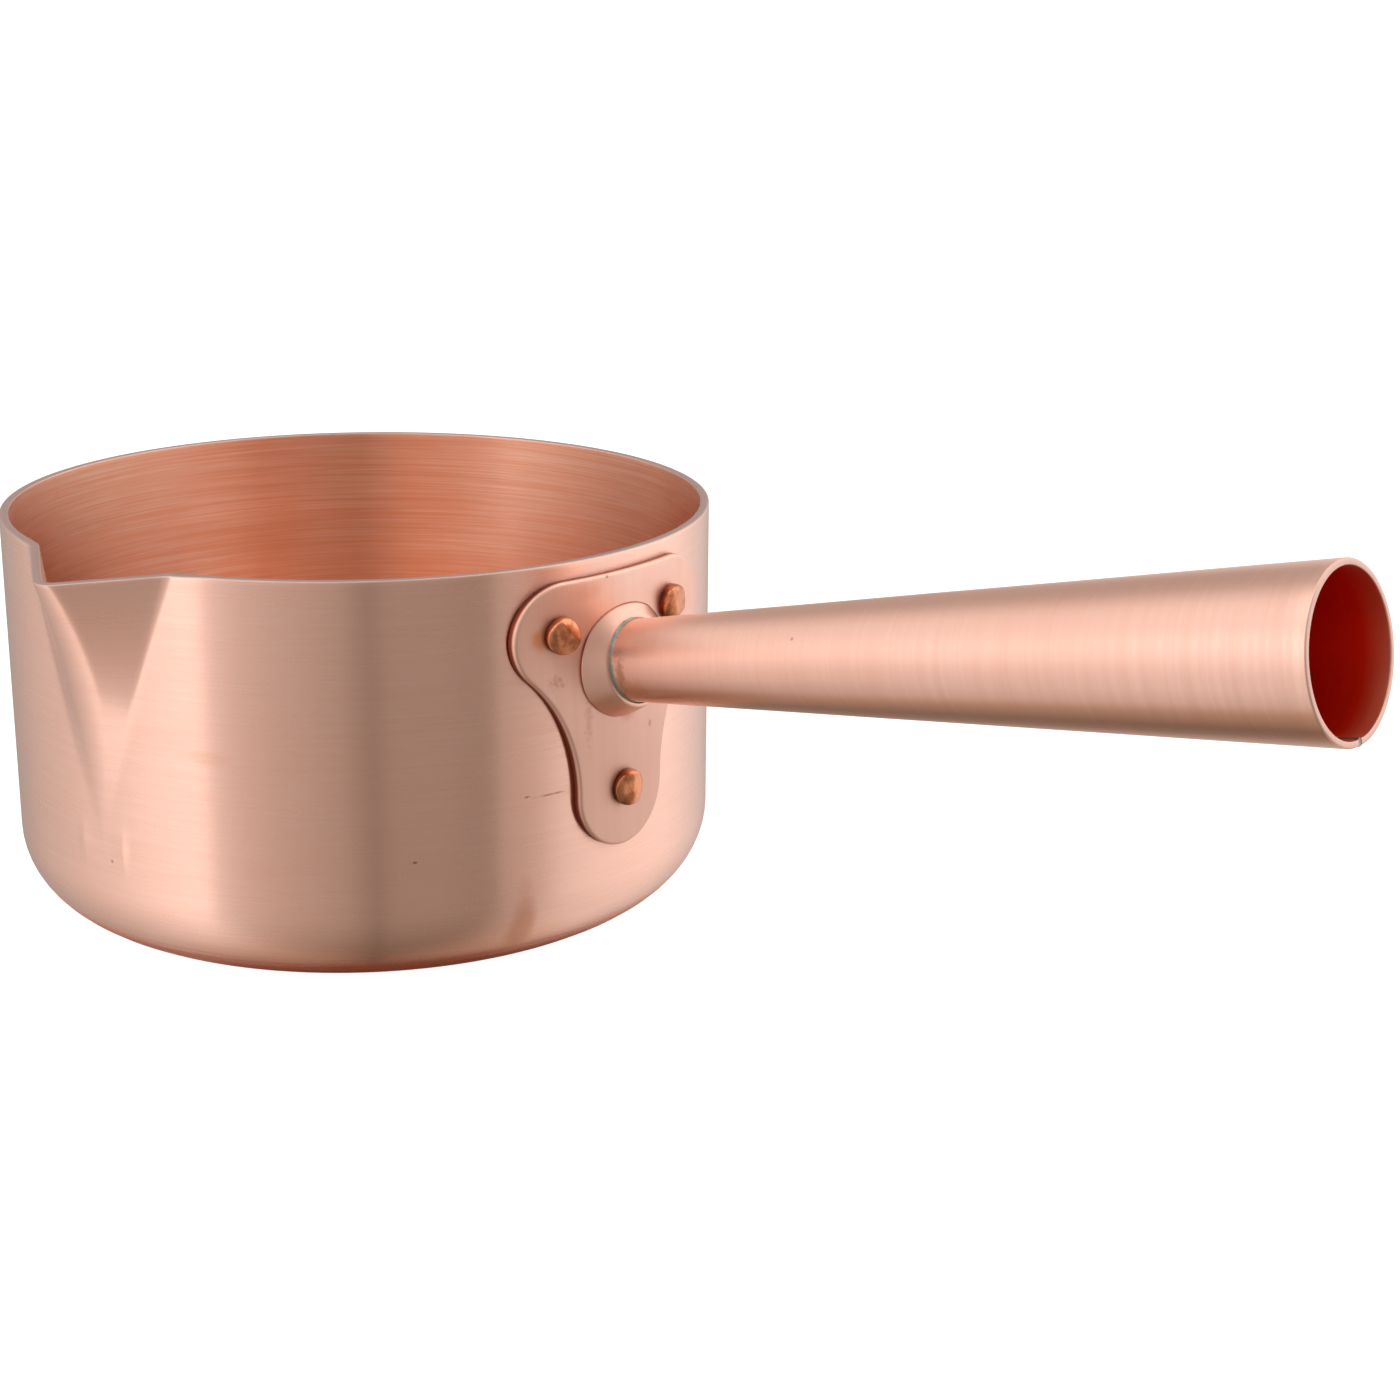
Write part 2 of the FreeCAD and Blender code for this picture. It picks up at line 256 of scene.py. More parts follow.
def makeClouds():
    # slow uneven tarnish and tiny pits
    values = {"Vector": (0.0, 0.0, 0.0), "Scale": 30.0, "Pits": 500.0, "Share": 0.01}
    group, given, result = newGroup("tarnishClouds", values, ["Cloud", "Pit"])
    cloud = noiseNode(group, given["Vector"], given["Scale"], 4.0, 0.6)
    feed(group, result["Cloud"], mapRange(group, cloud, *tarnishing["cloudEdges"]))
    cells = addNode(group, "ShaderNodeTexVoronoi", feature="F1")
    feed(group, cells.inputs["Vector"], given["Vector"])
    feed(group, cells.inputs["Scale"], given["Pits"])
    split = addNode(group, "ShaderNodeSeparateColor")
    feed(group, split.inputs[0], cells.outputs["Color"])
    chosen = mathNode(group, "LESS_THAN", split.outputs[0], given["Share"])
    near = mapRange(group, cells.outputs["Distance"], *tarnishing["pitEdges"], 1.0, 0.0)
    feed(group, result["Pit"], mathNode(group, "MULTIPLY", chosen, near))
    return group


def makeSpot():
    # one soft, ragged spot round a centre
    values = {"Vector": (0.0, 0.0, 0.0), "Center": (0.0, 0.0, 0.0), "Size": (0.01, 0.01, 0.01)}
    values.update({"Ragged": 0.3, "Grain": 300.0})
    group, given, result = newGroup("stainAndShadeSpot", values, ["Mask"])
    away = vectorNode(group, "SUBTRACT", given["Vector"], given["Center"])
    reach = vectorNode(group, "LENGTH", vectorNode(group, "DIVIDE", away, given["Size"]))
    grain = noiseNode(group, given["Vector"], given["Grain"], 3.0, 0.6)
    uneven = mathNode(group, "MULTIPLY", mathNode(group, "SUBTRACT", grain, 0.5), given["Ragged"])
    ragged = mathNode(group, "ADD", reach, mathNode(group, "MULTIPLY", uneven, stainAndShadeSettings["raggedness"]))
    feed(group, result["Mask"], mapRange(group, ragged, *stainAndShadeSettings["edges"], 1.0, 0.0))
    return group


brushLines = makeBrushLines()
tarnishClouds = makeClouds()
stainAndShadeSpot = makeSpot()


def startMaterial(name):
    material = bpy.data.materials.new(name)
    material.use_nodes = True
    tree = material.node_tree
    shader = tree.nodes["Principled BSDF"]
    coordinates = addNode(tree, "ShaderNodeTexCoord").outputs["Object"]
    return material, tree, shader, coordinates


def copperMaterial(name, look, groove=None, turned=None):
    # groove names the attribute that counts the brush lines; turned is the slope of a brushed tube
    material, tree, shader, place = startMaterial(name)
    if turned is not None:
        mapping = addNode(tree, "ShaderNodeMapping", vector_type="POINT")
        mapping.inputs["Rotation"].default_value = (0, turned, 0)
        feed(tree, mapping.inputs["Vector"], place)
        split = addNode(tree, "ShaderNodeSeparateXYZ")
        feed(tree, split.inputs[0], mapping.outputs[0])
        around = addNode(tree, "ShaderNodeCombineXYZ")
        feed(tree, around.inputs[0], split.outputs[1])
        feed(tree, around.inputs[1], split.outputs[2])
        slow, count = around.outputs[0], split.outputs[0]
    elif groove is not None:
        flat = vectorNode(tree, "MULTIPLY", place, (1, 1, 0))
        slow, count = flat, addNode(tree, "ShaderNodeAttribute", attribute_name=groove).outputs["Fac"]
    else:
        flat = vectorNode(tree, "MULTIPLY", place, (0, 0, 1))
        split = addNode(tree, "ShaderNodeSeparateXYZ")
        feed(tree, split.inputs[0], place)
        slow, count = flat, split.outputs[1]
    lines = useGroup(
        tree, brushLines, Place=slow, Groove=count, Pitch=look["pitch"], Stroke=look["stroke"],
    )
    clouds = useGroup(
        tree, tarnishClouds, Vector=place, Scale=look["cloudScale"], Share=look["pitShare"],
    )
    color = look["color"]
    layers = [
        (lines["Fine"], look["fine"], look["line"]),
        (lines["Coarse"], look["coarse"], look["line"]),
        (clouds["Cloud"], look["cloud"], look["tarnish"]),
        (clouds["Pit"], look["pit"], tarnishing["pitColor"]),
    ]
    for mask, amount, tint in layers:
        color = mixColor(tree, mathNode(tree, "MULTIPLY", mask, amount), color, tint)
    smoothest, roughest = look["rough"], look["rough"] + look["roughSpread"]
    rough = mapRange(tree, lines["Coarse"], 0, 1, smoothest, roughest, False)
    # spots: real stains and specks, and on the plate one broad patch of painted shade over its lower part
    for spot in look.get("spots", []):
        mask = useGroup(
            tree, stainAndShadeSpot, Vector=place, Center=spot["center"], Size=spot["size"],
            Ragged=spot["ragged"], Grain=spot["grain"],
        )["Mask"]
        share = mathNode(tree, "MULTIPLY", mask, spot["amount"])
        color = mixColor(tree, share, color, spot["color"])
        rough = mathNode(tree, "ADD", rough, mathNode(tree, "MULTIPLY", share, stainAndShadeSettings["rougher"]))
    # near-edge tint: painted shade in the gap between plate and wall, painted light towards the open end of
    # the bore, and darker at the foot of the collar and of each rivet head
    if "edge" in look:
        tintAndPaintedLightMask = addNode(tree, "ShaderNodeAttribute", attribute_name="grime").outputs["Fac"]
        color = mixColor(tree, mathNode(tree, "MULTIPLY", tintAndPaintedLightMask, look["edge"]), color, look["grime"])
    feed(tree, shader.inputs["Base Color"], color)
    feed(tree, shader.inputs["Roughness"], rough)
    shader.inputs["Metallic"].default_value = 1.0
    shader.inputs["Anisotropic"].default_value = look["anisotropy"]
    height = mathNode(tree, "MULTIPLY", lines["Fine"], relief["fineShare"])
    height = mathNode(tree, "ADD", height, lines["Coarse"])
    bump = addNode(tree, "ShaderNodeBump")
    bump.inputs["Strength"].default_value = look["bump"]
    bump.inputs["Distance"].default_value = relief["distance"]
    feed(tree, bump.inputs["Height"], height)
    feed(tree, shader.inputs["Normal"], bump.outputs[0])
    if turned is None:
        shader.inputs["Anisotropic Rotation"].default_value = relief["quarterTurn"]
    else:
        tangent = addNode(tree, "ShaderNodeTangent", direction_type="UV_MAP", uv_map="alongHandle")
        feed(tree, shader.inputs["Tangent"], tangent.outputs[0])
    return material


# camera

camera = {
    "place": (0.413768, -0.366152, 0.208745),
    "turn": (73.0507, -0.5925, 40.5144),
    "lens": 62.49,
}


def makeCamera():
    bpy.ops.object.camera_add(location=camera["place"], rotation=[radians(a) for a in camera["turn"]])
    seen = bpy.context.object
    seen.name = "studioCamera"
    seen.data.lens = camera["lens"]
    seen.data.sensor_width = 36
    bpy.context.scene.camera = seen


makeCamera()
print("camera set")


# the pan, spun from one sheet, with its pressed spout

pan = {
    "radius": 0.080,
    "height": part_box("pan_body")[1].z,
    "wall": 0.002,
    "corner": 0.018,
    "rimRound": 0.00035,
    "columns": 432,
    "rings": 40,
    "cornerSteps": 14,
    "rimSteps": 4,
    "lowRings": (0.003, 0.006),  # above the corner
    "topRing": 0.0008,  # below the rim's rounded edge
    "baseRings": [0.004, 0.012, 0.024, 0.036, 0.048, 0.056],
    "rimShare": 0.7,  # how much of the rounded edge shows as cut metal
}
spout = {
    "angle": radians(-86),
    "reach": 0.0135,
    "swell": 2.4,
    "halfWidth": 0.0215,
    "apex": 0.027,
    "lipNose": 0.0032,
    "apexNose": 0.017,
    "noseGrowth": 0.6,
    "dip": 0.0028,
    "dipStart": 0.074,
    "columns": radians(20),
    "nearColumns": radians(60),
    "crowding": 1.5,
    "lowestCrease": 0.3,
    "lowestWidth": 0.001,
    "settles": 0.060,
    "rounds": 4,  # to settle the dip of the lip
}


def spoutSection(level, inset):
    # a V with a rounded nose, in plan: its peak, slope, nose and the crease where it leaves the wall
    halfWidth = max(level, spout["lowestWidth"]) * spout["halfWidth"]
    belowLip = max(0, 1 - level) ** spout["noseGrowth"]
    nose = spout["lipNose"] + (spout["apexNose"] - spout["lipNose"]) * belowLip
    crease = sqrt(pan["radius"] ** 2 - halfWidth ** 2)
    rise = pan["radius"] + spout["reach"] * level ** spout["swell"] - crease
    spare = nose - rise
    root = (halfWidth * spare) ** 2 + (halfWidth ** 2 - nose ** 2) * (nose ** 2 - spare ** 2)
    slope = (nose ** 2 - spare ** 2) / (halfWidth * spare + sqrt(max(root, 0)))
    flank = hypot(1, slope)
    peak = crease + slope * halfWidth - inset * flank
    nose = nose - inset
    radius = pan["radius"] - inset
    root = (peak * slope) ** 2 - (1 + slope ** 2) * (peak ** 2 - radius ** 2)
    width = (peak * slope - sqrt(max(root, 0))) / (1 + slope ** 2)
    return {"peak": peak, "slope": slope, "flank": flank, "nose": nose, "width": width}


def spoutLine(section, across):
    nose, flank = section["nose"], section["flank"]
    if across < nose * section["slope"] / flank:
        return section["peak"] - nose * flank + sqrt(nose ** 2 - across ** 2)
    return section["peak"] - section["slope"] * across


def pressSpout(place):
    radius = hypot(place.x, place.y)
    column = (atan2(place.y, place.x) - spout["angle"] + pi) % (2 * pi) - pi
    side = 1 if column > 0 else -1
    column = abs(column)
    if column >= spout["nearColumns"] or radius < 0.0001:
        return place
    inset = clamp(pan["radius"] - radius, 0, pan["wall"])
    onWall = place.z > spout["apex"]
    height = place.z
    for step in range(spout["rounds"] if onWall else 1):
        level = (height - spout["apex"]) / (pan["height"] - spout["apex"])
        shape = spoutSection(clamp(level, spout["lowestCrease"], 1), inset)
        creaseAngle = asin(shape["width"] / (pan["radius"] - inset))
        if column <= spout["columns"]:
            angle = creaseAngle * (column / spout["columns"]) ** spout["crowding"]
        else:
            spread = (spout["nearColumns"] - creaseAngle) / (spout["nearColumns"] - spout["columns"])
            angle = creaseAngle + (column - spout["columns"]) * spread
        across = radius * sin(angle)
        along = radius * cos(angle)
        if onWall and column <= spout["columns"]:
            along = max(along, spoutLine(spoutSection(level, inset), across))
        fall = spout["dip"] / (pan["radius"] + spout["reach"] - spout["dipStart"])
        lip = pan["height"] - fall * max(0, along - spout["dipStart"])
        if place.z > spout["settles"]:
            share = (lip - spout["settles"]) / (pan["height"] - spout["settles"])
            height = spout["settles"] + (place.z - spout["settles"]) * share
    way = Vector((cos(spout["angle"]), sin(spout["angle"]), 0))
    aside = Vector((-way.y, way.x, 0))
    return way * along + aside * across * side + zAxis * height


def panOutline():
    radius, height, wall, corner = pan["radius"], pan["height"], pan["wall"], pan["corner"]
    edge = pan["rimRound"]
    flat, bends, turns = pan["baseRings"], pan["cornerSteps"], pan["rimSteps"]
    levels = [corner + above for above in pan["lowRings"]]
    levels += between(spout["apex"], height - edge - pan["topRing"], pan["rings"])
    outer = [(0, 0)] + [(0, out) for out in flat]
    outer += arc((corner, radius - corner), corner, -90, 0, bends)
    outer += [(level, radius) for level in levels]
    rim = arc((height - edge, radius - edge), edge, 0, 90, turns)
    rim += arc((height - edge, radius - wall + edge), edge, 90, 180, turns)
    inner = [(level, radius - wall) for level in reversed(levels)]
    inner += arc((corner, radius - corner), corner - wall, 0, -90, bends)
    inner += [(wall, out) for out in reversed(flat)] + [(wall, 0)]
    return outer + rim + inner


def panSide(center):
    # which material a face takes: 0 outside, 1 inside, 2 the cut rim
    radius, corner = hypot(center.x, center.y), pan["corner"]
    bend = pan["radius"] - corner
    if radius < bend:
        return 1 if center.z > pan["wall"] / 2 else 0
    if center.z < corner:
        return 1 if hypot(radius - bend, corner - center.z) < corner - pan["wall"] / 2 else 0
    if center.z > pan["height"] - pan["rimRound"] * pan["rimShare"]:
        return 2
    return 1 if radius < pan["radius"] - pan["wall"] / 2 else 0


panLook = {
    "color": (0.955, 0.575, 0.445, 1),
    "line": (0.86, 0.45, 0.32, 1),
    "tarnish": (0.92, 0.49, 0.35, 1),
    "fine": 0.21,
    "coarse": 0.12,
    "cloud": 0.22,
    "pit": 0.5,
    "pitShare": 0.0015,
    "cloudScale": 22.0,
    "pitch": 2700.0,
    "stroke": 60.0,
    "rough": 0.24,
    "roughSpread": 0.04,
    "anisotropy": 1.0,
    "bump": 0.003,
}
# inside, the copper is painted paler and brighter, its lines and tarnish redder: painted light and painted
# reflection of the bowl's own copper; the coarser brush lines are real
insidePaintedLightLook = dict(
    panLook,
    color=(0.99, 0.67, 0.50, 1),
    line=(0.84, 0.34, 0.18, 1),
    tarnish=(0.92, 0.40, 0.22, 1),
    fine=0.6,
    coarse=0.4,
    cloud=0.4,
    pitch=2500.0,
    stroke=30.0,
    rough=0.33,
    roughSpread=0.05,
    bump=0.03,
)
rimLook = dict(
    panLook,
    color=(0.66, 0.46, 0.40, 1),
    line=(0.50, 0.32, 0.27, 1),
    rough=0.42,
    anisotropy=0.0,
    bump=0.05,
)
speck = {"ragged": 0.3, "grain": 900.0, "amount": 0.75, "color": (0.30, 0.12, 0.06, 1)}
panLook["spots"] = [
    {
        "center": (0.0338, -0.0728, 0.052), "size": (0.008, 0.005, 0.0022),
        "ragged": 0.2, "grain": 150.0, "amount": 0.25, "color": (0.80, 0.34, 0.18, 1),
    },
    {
        "center": (0.0779, -0.0180, 0.0407), "size": (0.003, 0.0062, 0.00028),
        "ragged": 0.5, "grain": 700.0, "amount": 0.7, "color": (0.42, 0.20, 0.12, 1),
    },
    {
        "center": (0.0745, -0.0247, 0.0105), "size": (0.0060, 0.0042, 0.0150),
        "ragged": 0.15, "grain": 120.0, "amount": 0.5, "color": (0.64, 0.25, 0.12, 1),
    },
    dict(speck, center=(0.0763, -0.0240, 0.0411), size=(0.001, 0.0009, 0.0003)),
    dict(speck, center=(0.0654, -0.0461, 0.0299), size=(0.0007, 0.0007, 0.0004)),
    dict(speck, center=(-0.0011, -0.0930, 0.0873), size=(0.0006, 0.0016, 0.0008)),
]


def makePan():
    piece = spinOutline("panBody", panOutline(), origin, zAxis, -xAxis, pan["columns"])
    writeAttribute(piece, "groove", lambda place: place.z + hypot(place.x, place.y))
    sides = [panSide(face.center) for face in piece.data.polygons]
    moveVertices(piece, pressSpout)
    materials = [
        copperMaterial("brushedCopper", panLook, groove="groove"),
        copperMaterial("insideCopperPaintedLight", insidePaintedLightLook, groove="groove"),
        copperMaterial("cutRimCopper", rimLook, groove="groove"),
    ]
    finishPiece(piece, "pan_body", materials, 25)
    piece.data.polygons.foreach_set("material_index", sides)


makePan()


# the handle plate, three lobes bent a little less than the wall

rivets = {
    "rivet_upper_left": {"aside": -0.0176, "height": 0.0756},
    "rivet_upper_right": {"aside": 0.0158, "height": 0.0764},
    "rivet_lower": {"aside": 0.0003, "height": 0.0387},
}
plate = {
    "thickness": 0.002,
    "bend": 0.086,
    "edge": 0.0006,
    "backEdge": 0.0002,
    "upperRadius": 0.0118,
    "upperAside": 0.0164,
    "upperHeight": 0.0747,
    "lowerRadius": 0.0128,
    "lowerHeight": 0.0385,
    "waist": 0.038,
    "middle": 0.067,
    "size": 0.03,
    "border": 0.0024,
    "columns": 264,
    "rings": 18,
    "lastRing": 0.0005,  # inside the rounded edge
    "sideRings": (0.0013, 0.0011, 0.0009, 0.0006),
    "edgeSteps": 6,
    "dish": 0.00022,  # the hollow round each rivet
    "dishWidth": 0.0056,
    "waver": 0.00005,
    "waverScale": 110,
    "waverLevel": 0.3,
    # behind this depth the plate's side is darkened, fading over the next: painted shade in the gap against
    # the wall
    "gapShadeTop": 0.0013,
    "paintedLightFade": 0.0003,
}


def plateArcs():
    # right half of the outline, from its lowest point: (center, radius, start, sweep), then the top line
    upper = Vector((plate["upperAside"], plate["upperHeight"]))
    lower = Vector((0, plate["lowerHeight"]))
    apart = (upper - lower).length
    toLower = plate["waist"] + plate["lowerRadius"]
    toUpper = plate["waist"] + plate["upperRadius"]
    along = (toLower ** 2 - toUpper ** 2 + apart ** 2) / (2 * apart)
    direction = (upper - lower) / apart
    sideways = Vector((direction.y, -direction.x))
    waist = lower + direction * along + sideways * sqrt(toLower ** 2 - along ** 2)
    fromLower = atan2(waist.y - lower.y, waist.x - lower.x)
    fromUpper = atan2(waist.y - upper.y, waist.x - upper.x)
    return [
        (lower, plate["lowerRadius"], -pi / 2, fromLower + pi / 2),
        (waist, plate["waist"], fromLower + pi, fromUpper - fromLower),
        (upper, plate["upperRadius"], fromUpper, pi / 2 - fromUpper),
    ]


def plateOutline(share):
    # point of the outline and its outward direction, the share running once round from the lowest point
    side = 1 if share <= 0.5 else -1
    arcs = plateArcs()
    lengths = [radius * abs(sweep) for center, radius, start, sweep in arcs]
    left = min(share, 1 - share) * 2 * (sum(lengths) + plate["upperAside"])
    for (center, radius, start, sweep), length in zip(arcs, lengths):
        if left <= length:
            angle = start + sweep * left / length
            way = Vector((cos(angle), sin(angle)))
            point = center + way * radius
            outward = way if radius < plate["waist"] else -way
            return Vector((point.x * side, point.y)), Vector((outward.x * side, outward.y))
        left -= length
    point = Vector((plate["upperAside"] - left, plate["upperHeight"] + plate["upperRadius"]))
    return Vector((point.x * side, point.y)), Vector((0, 1))


def shapePlate(place):
    radius = hypot(place.y, place.z)
    share = (atan2(place.y, -place.z) / (2 * pi)) % 1
    edge, outward = plateOutline(share)
    inset = plate["size"] - radius
    border = edge - outward * plate["border"]
    middle = Vector((0, plate["middle"]))
    if inset <= plate["border"]:
        point = edge - outward * inset
    else:
        point = middle + (border - middle) * (radius / (plate["size"] - plate["border"]))
    depth = place.x
    front = clamp(depth / plate["thickness"])
    for rivet in rivets.values():
        away = hypot(point.x - rivet["aside"], point.y - rivet["height"])
        depth -= front * plate["dish"] * exp(-(away / plate["dishWidth"]) ** 2)
    uneven = noise.noise(Vector((point.x, point.y, 0)) * plate["waverScale"])
    depth += front * plate["waver"] * (uneven - plate["waverLevel"])
    bend = plate["bend"]
    out = pan["radius"] - bend + sqrt((bend + depth) ** 2 - point.x ** 2)
    return Vector((out, point.x, point.y))


plateLook = dict(
    panLook,
    color=(0.93, 0.58, 0.455, 1),
    line=(0.85, 0.48, 0.35, 1),
    tarnish=(0.83, 0.41, 0.28, 1),
    fine=0.2,
    coarse=0.15,
    cloud=0.3,
    pitShare=0.006,
    cloudScale=45.0,
    pitch=1500.0,
    stroke=60.0,
    rough=0.42,
    roughSpread=0.04,
    anisotropy=0.0,
    bump=0.03,
    # the near-black red at the back of the plate's side is painted shade in the gap against the wall
    edge=0.9,
    grime=(0.20, 0.03, 0.01, 1),
)
plateLook["spots"] = [
    # the first, broad patch darkens the lower part of the plate: painted shade
    {
        "center": (0.082, -0.002, 0.036), "size": (0.02, 0.042, 0.046),
        "ragged": 0.06, "grain": 60.0, "amount": 0.95, "color": (0.77, 0.455, 0.345, 1),
    },
    {
        "center": (0.078, -0.0222, 0.0752), "size": (0.01, 0.0036, 0.0034),
        "ragged": 0.12, "grain": 260.0, "amount": 0.7, "color": (0.78, 0.27, 0.09, 1),
    },
    {
        "center": (0.080, -0.0110, 0.0838), "size": (0.01, 0.006, 0.0028),
        "ragged": 0.2, "grain": 180.0, "amount": 0.3, "color": (0.72, 0.30, 0.17, 1),
    },
    {
        "center": (0.0815, -0.0190, 0.0655), "size": (0.01, 0.0026, 0.0018),
        "ragged": 0.75, "grain": 900.0, "amount": 0.35, "color": (0.50, 0.22, 0.13, 1),
    },
    {
        "center": (0.0815, -0.0105, 0.0560), "size": (0.01, 0.0012, 0.0060),
        "ragged": 0.8, "grain": 900.0, "amount": 0.22, "color": (0.50, 0.22, 0.13, 1),
    },
    {
        "center": (0.0815, 0.0084, 0.0510), "size": (0.01, 0.0006, 0.0011),
        "ragged": 0.4, "grain": 900.0, "amount": 0.5, "color": (0.50, 0.22, 0.13, 1),
    },
    {
        "center": (0.082, 0.0010, 0.0555), "size": (0.01, 0.0034, 0.0030),
        "ragged": 0.2, "grain": 220.0, "amount": 0.35, "color": (0.55, 0.22, 0.12, 1),
    },
]


def makePlate():
    size, thickness, edge, back = plate["size"], plate["thickness"], plate["edge"], plate["backEdge"]
    flat = size - plate["border"]
    rings = between(0, flat, plate["rings"])
    front = [(thickness, ring) for ring in rings] + [(thickness, size - edge - plate["lastRing"])]
    rounded = []
    for step in between(0, 90, plate["edgeSteps"]):
        angle = radians(step)
        rounded.append((thickness - edge + edge * cos(angle), size - edge + edge * sin(angle)))
    side = [(depth, size) for depth in (*plate["sideRings"], back)]
    side += [(back / 3, size - back / 3), (0, size - back)]
    behind = [(0, ring) for ring in reversed(rings)]
    outline = front + rounded + side + behind
    piece = spinOutline("handlePlate", outline, origin, xAxis, -zAxis, plate["columns"])

    # darkens the back of the plate's side, next to the wall: painted shade in the gap between plate and
    # wall
    def grime(place):
        if hypot(place.y, place.z) <= flat:
            return 0.0
        return clamp((plate["gapShadeTop"] - place.x) / plate["paintedLightFade"])

    writeAttribute(piece, "grime", grime)
    moveVertices(piece, shapePlate)
    finishPiece(piece, "handle_plate", [copperMaterial("plateCopper", plateLook)], 50)


makePlate()


# the handle tube, rolled from sheet and brazed along its underside

handle = {
    "slope": radians(11.42),
    "root": Vector((0.080, 0, 0.0664)),
    "length": 0.168,
    "rootRadius": 0.0085,
    "endRadius": 0.016,
    "sheet": 0.00125,
    "lipRound": 0.0004,
    "boreRound": 0.0002,
    "seam": 0.0012,
    "slitStart": radians(2.5),  # where the slit's sides are before the tube is shaped
    "columns": 216,
    "rings": 36,
    "lipSteps": 4,
    "boreSteps": 3,
    "firstRing": 0.002,
    "secondRing": 0.004,
    "meets": 0.003,  # nearer the root than this, the tube follows the plate
    "endTrim": 0.00002,
    "flat": 0.00012,  # along the slit
    "flatWidth": 0.16,
    "waver": 0.00004,
    "waverScale": 30,
    "lipShare": 0.6,
    "boreShare": 0.75,
    # how fast the bore's painted light fades from the open end
    "paintedLightFade": 0.0010,
    "mapStretch": 4,
}
seam = {
    "short": 0.0001,
    "rings": 120,
    "columns": 6,
    "waver": 0.00002,
    "sunk": 0.00012,
    "ridge": 0.00035,  # the bead inside the tube
    "ridgeWaver": 0.00015,
    "waverScale": 260,
}
handleWay = Vector((cos(handle["slope"]), 0, sin(handle["slope"])))
handleUp = Vector((-handleWay.z, 0, handleWay.x))
plateFace = plate["bend"] + plate["thickness"]


def tubeRadius(distance):
    growth = handle["endRadius"] - handle["rootRadius"]
    return handle["rootRadius"] + growth * distance / handle["length"]


def handleParts(place):
    # distance along the handle's axis, radius from it, and angle from its underside
    away = place - handle["root"]
    distance = away.dot(handleWay)
    out = away - handleWay * distance
    return distance, out.length, atan2(out.y, -out.dot(handleUp))


def aroundHandle(angle):
    # direction out from the handle's axis, the angle counted from its underside
    return yAxis * sin(angle) - handleUp * cos(angle)


def handlePlace(distance, radius, angle):
    return handle["root"] + handleWay * distance + aroundHandle(angle) * radius


def meetPlate(place):
    # the root end slides along the axis on to the plate's outer face
    axisX = pan["radius"] - plate["bend"]
    for step in range(6):
        gap = axisX + sqrt(plateFace ** 2 - place.y ** 2) - place.x
        place = place + handleWay * (gap / handleWay.x)
    return place


def tubeOutline():
    length, sheet = handle["length"], handle["sheet"]
    lip, bore = handle["lipRound"], handle["boreRound"]
    outerEnd = tubeRadius(length) - handle["endTrim"]
    innerEnd = outerEnd - sheet
    stops = [handle["firstRing"]] + between(handle["secondRing"], length - lip, handle["rings"])
    outer = [(stop, tubeRadius(stop)) for stop in stops]
    outer += arc((length - lip, outerEnd - lip), lip, 0, 90, handle["lipSteps"])
    inner = arc((length - bore, innerEnd + bore), bore, 90, 180, handle["boreSteps"])
    inner += [(stop, tubeRadius(stop) - sheet) for stop in reversed(stops)]
    return outer + inner + [outer[0]]


def shapeTube(place):
    distance, radius, angle = handleParts(place)
    angle = angle % (2 * pi)
    slit = asin(handle["seam"] / 2 / radius)
    angle = pi + (angle - pi) * (pi - slit) / (pi - handle["slitStart"])
    flat = handle["flat"] * exp(-(min(angle, 2 * pi - angle) / handle["flatWidth"]) ** 2)
    uneven = noise.noise(Vector((distance * handle["waverScale"], sin(angle), cos(angle))))
    shaped = handlePlace(distance, radius - flat + handle["waver"] * uneven, angle)
    return meetPlate(shaped) if distance < handle["meets"] else shaped


def shapeSeam(place):
    distance, radius, angle = handleParts(place)
    share = angle / handle["slitStart"]
    angle = asin(handle["seam"] / 2 / radius) * share
    crown = 1 - share ** 2
    uneven = noise.noise(Vector((distance * seam["waverScale"], 0, share)))
    if radius > tubeRadius(distance) - handle["sheet"] / 2:
        radius += crown * seam["waver"] * uneven - seam["sunk"]
    else:
        radius -= crown * (seam["ridge"] + seam["ridgeWaver"] * uneven)
    shaped = handlePlace(distance, radius, angle)
    return meetPlate(shaped) if distance < handle["meets"] else shaped


tubeLook = dict(
    panLook,
    fine=0.26,
    coarse=0.16,
    cloud=0.25,
    pitch=2600.0,
    stroke=35.0,
    rough=0.28,
    anisotropy=0.9,
    bump=0.006,
)
tubeLook["spots"] = [
    {
        "center": (0.0885, -0.0088, 0.0668), "size": (0.0016, 0.004, 0.0055),
        "ragged": 0.5, "grain": 900.0, "amount": 0.7, "color": (0.50, 0.20, 0.10, 1),
    },
    {
        "center": (0.0915, -0.0072, 0.0640), "size": (0.006, 0.006, 0.0035),
        "ragged": 0.3, "grain": 420.0, "amount": 0.5, "color": (0.80, 0.33, 0.13, 1),
    },
]
